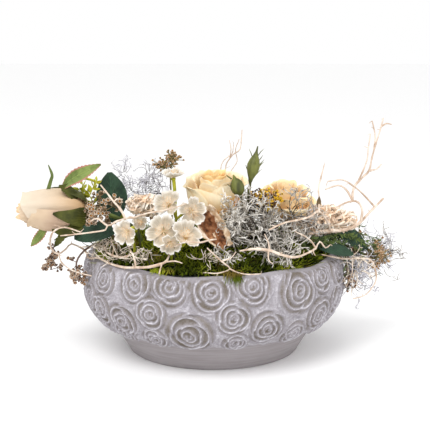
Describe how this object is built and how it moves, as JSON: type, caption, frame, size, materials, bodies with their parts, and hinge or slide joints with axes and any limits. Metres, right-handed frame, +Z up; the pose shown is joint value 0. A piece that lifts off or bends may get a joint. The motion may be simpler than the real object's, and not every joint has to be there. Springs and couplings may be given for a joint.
{
  "type": "sympathy rose bowl arrangement",
  "caption": "Round concrete bowl with cast roses, filled with foam and moss that hold artificial roses, cherry blossom, bleached twigs, silver bush and dried sprays",
  "frame": {"origin": "centre of the bowl's base, on the surface that it stands on", "axes": "+Z up, -Y to the front that the picture shows, +X to the viewer's right"},
  "size_m": [0.3981, 0.2797, 0.2462],
  "materials": {
    "concrete": "matt, whitewashed",
    "black_film": "semi-gloss",
    "foam": "matt, open-cell",
    "moss": "matt",
    "cream_petal": "matt woven",
    "gold_petal": "matt woven",
    "blossom": "matt, translucent",
    "rose_green": "matt woven",
    "bud_green": "matt",
    "lime_stem": "matt",
    "blue_green": "satin",
    "silver": "matt, felted",
    "bleached": "matt, bleached",
    "dried_spray": "matt, dry",
    "dry_leaf": "matt, dry",
    "shaving": "matt",
    "yellow_filler": "matt, dry"
  },
  "bodies": {
    "root": {"blossom_back": "blossom", "blossom_far_left": "blossom", "blossom_front": "blossom", "blossom_low": "blossom", "blossom_lowest": "blossom", "blossom_small": "blossom", "blossom_stem_left": "lime_stem", "blossom_stem_middle": "lime_stem", "blossom_stem_upper": "lime_stem", "blossom_top": "blossom", "blossom_upper": "blossom", "bowl": "concrete", "dry_brown_leaf": "dry_leaf", "film_liner": "black_film", "floral_foam": "foam", "green_rose_buds": "bud_green", "leaf_sprig_left": "blue_green", "leaf_sprig_right": "blue_green", "moss_bed": "moss", "rose_bud_bloom": "cream_petal", "rose_bud_greenery": "rose_green", "rose_open_bloom": "cream_petal", "rose_open_stem": "rose_green", "rose_second_bloom": "gold_petal", "rose_second_stem": "rose_green", "shaving_curl_left": "shaving", "shaving_curl_right": "shaving", "silver_bush_centre": "silver", "silver_bush_left_back": "silver", "silver_bush_right": "silver", "spray_left": "dried_spray", "spray_low_left": "dried_spray", "spray_low_right": "dried_spray", "spray_right": "dried_spray", "spray_rim_left": "dried_spray", "spray_top": "dried_spray", "twig_back": "bleached", "twig_centre": "bleached", "twig_front_right": "bleached", "twig_left_low": "bleached", "twig_left_thick": "bleached", "twig_left_upper": "bleached", "twig_right_low": "bleached", "twig_right_main": "bleached", "yellow_filler": "yellow_filler"}
  },
  "joints": []
}
